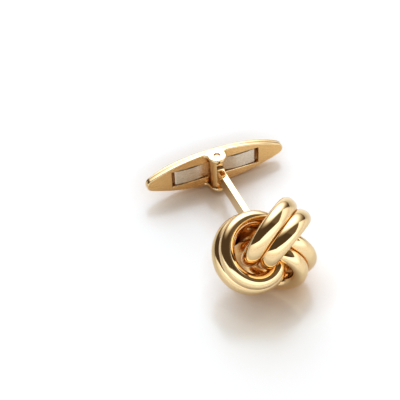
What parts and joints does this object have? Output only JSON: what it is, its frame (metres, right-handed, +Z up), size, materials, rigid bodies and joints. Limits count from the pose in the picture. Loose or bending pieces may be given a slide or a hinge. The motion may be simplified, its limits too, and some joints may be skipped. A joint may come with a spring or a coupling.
{
  "type": "swivel-bar cufflink",
  "caption": "Gold cufflink: a love knot of double wire loops on a flat post, with a long oval bar that swings on a pin against a leaf spring.",
  "frame": {"origin": "centre of the bounding box, on the table that it lies on, with the bar straight across the post", "axes": "+Z up; +Y from the knot to the swinging bar; +X along the swinging bar, within about three degrees"},
  "size_m": [0.02, 0.0244, 0.0142],
  "materials": {
    "polished_gold": "mirror polished yellow gold",
    "satin_gold": "satin yellow gold with polished edges",
    "spring_steel": "finely brushed spring strip"
  },
  "bodies": {
    "knot_and_post": {"left_front_loop": "polished_gold", "left_back_loop": "polished_gold", "upper_front_loop": "polished_gold", "upper_back_loop": "polished_gold", "lower_front_loop": "polished_gold", "lower_back_loop": "polished_gold", "knot_collar": "polished_gold", "post": "polished_gold"},
    "swinging_bar": {"bar_face_plate": "satin_gold", "bar_back_cover": "polished_gold", "leaf_spring": "spring_steel", "hinge_pin": "polished_gold"}
  },
  "joints": [
    {"name": "bar_swing", "type": "hinge", "parent": "knot_and_post", "child": "swinging_bar", "pos_m": [0, 0.00927, 0.00313], "axis": [0.0569, 0.2304, 0.9714], "range_deg": [-90, 90]}
  ]
}
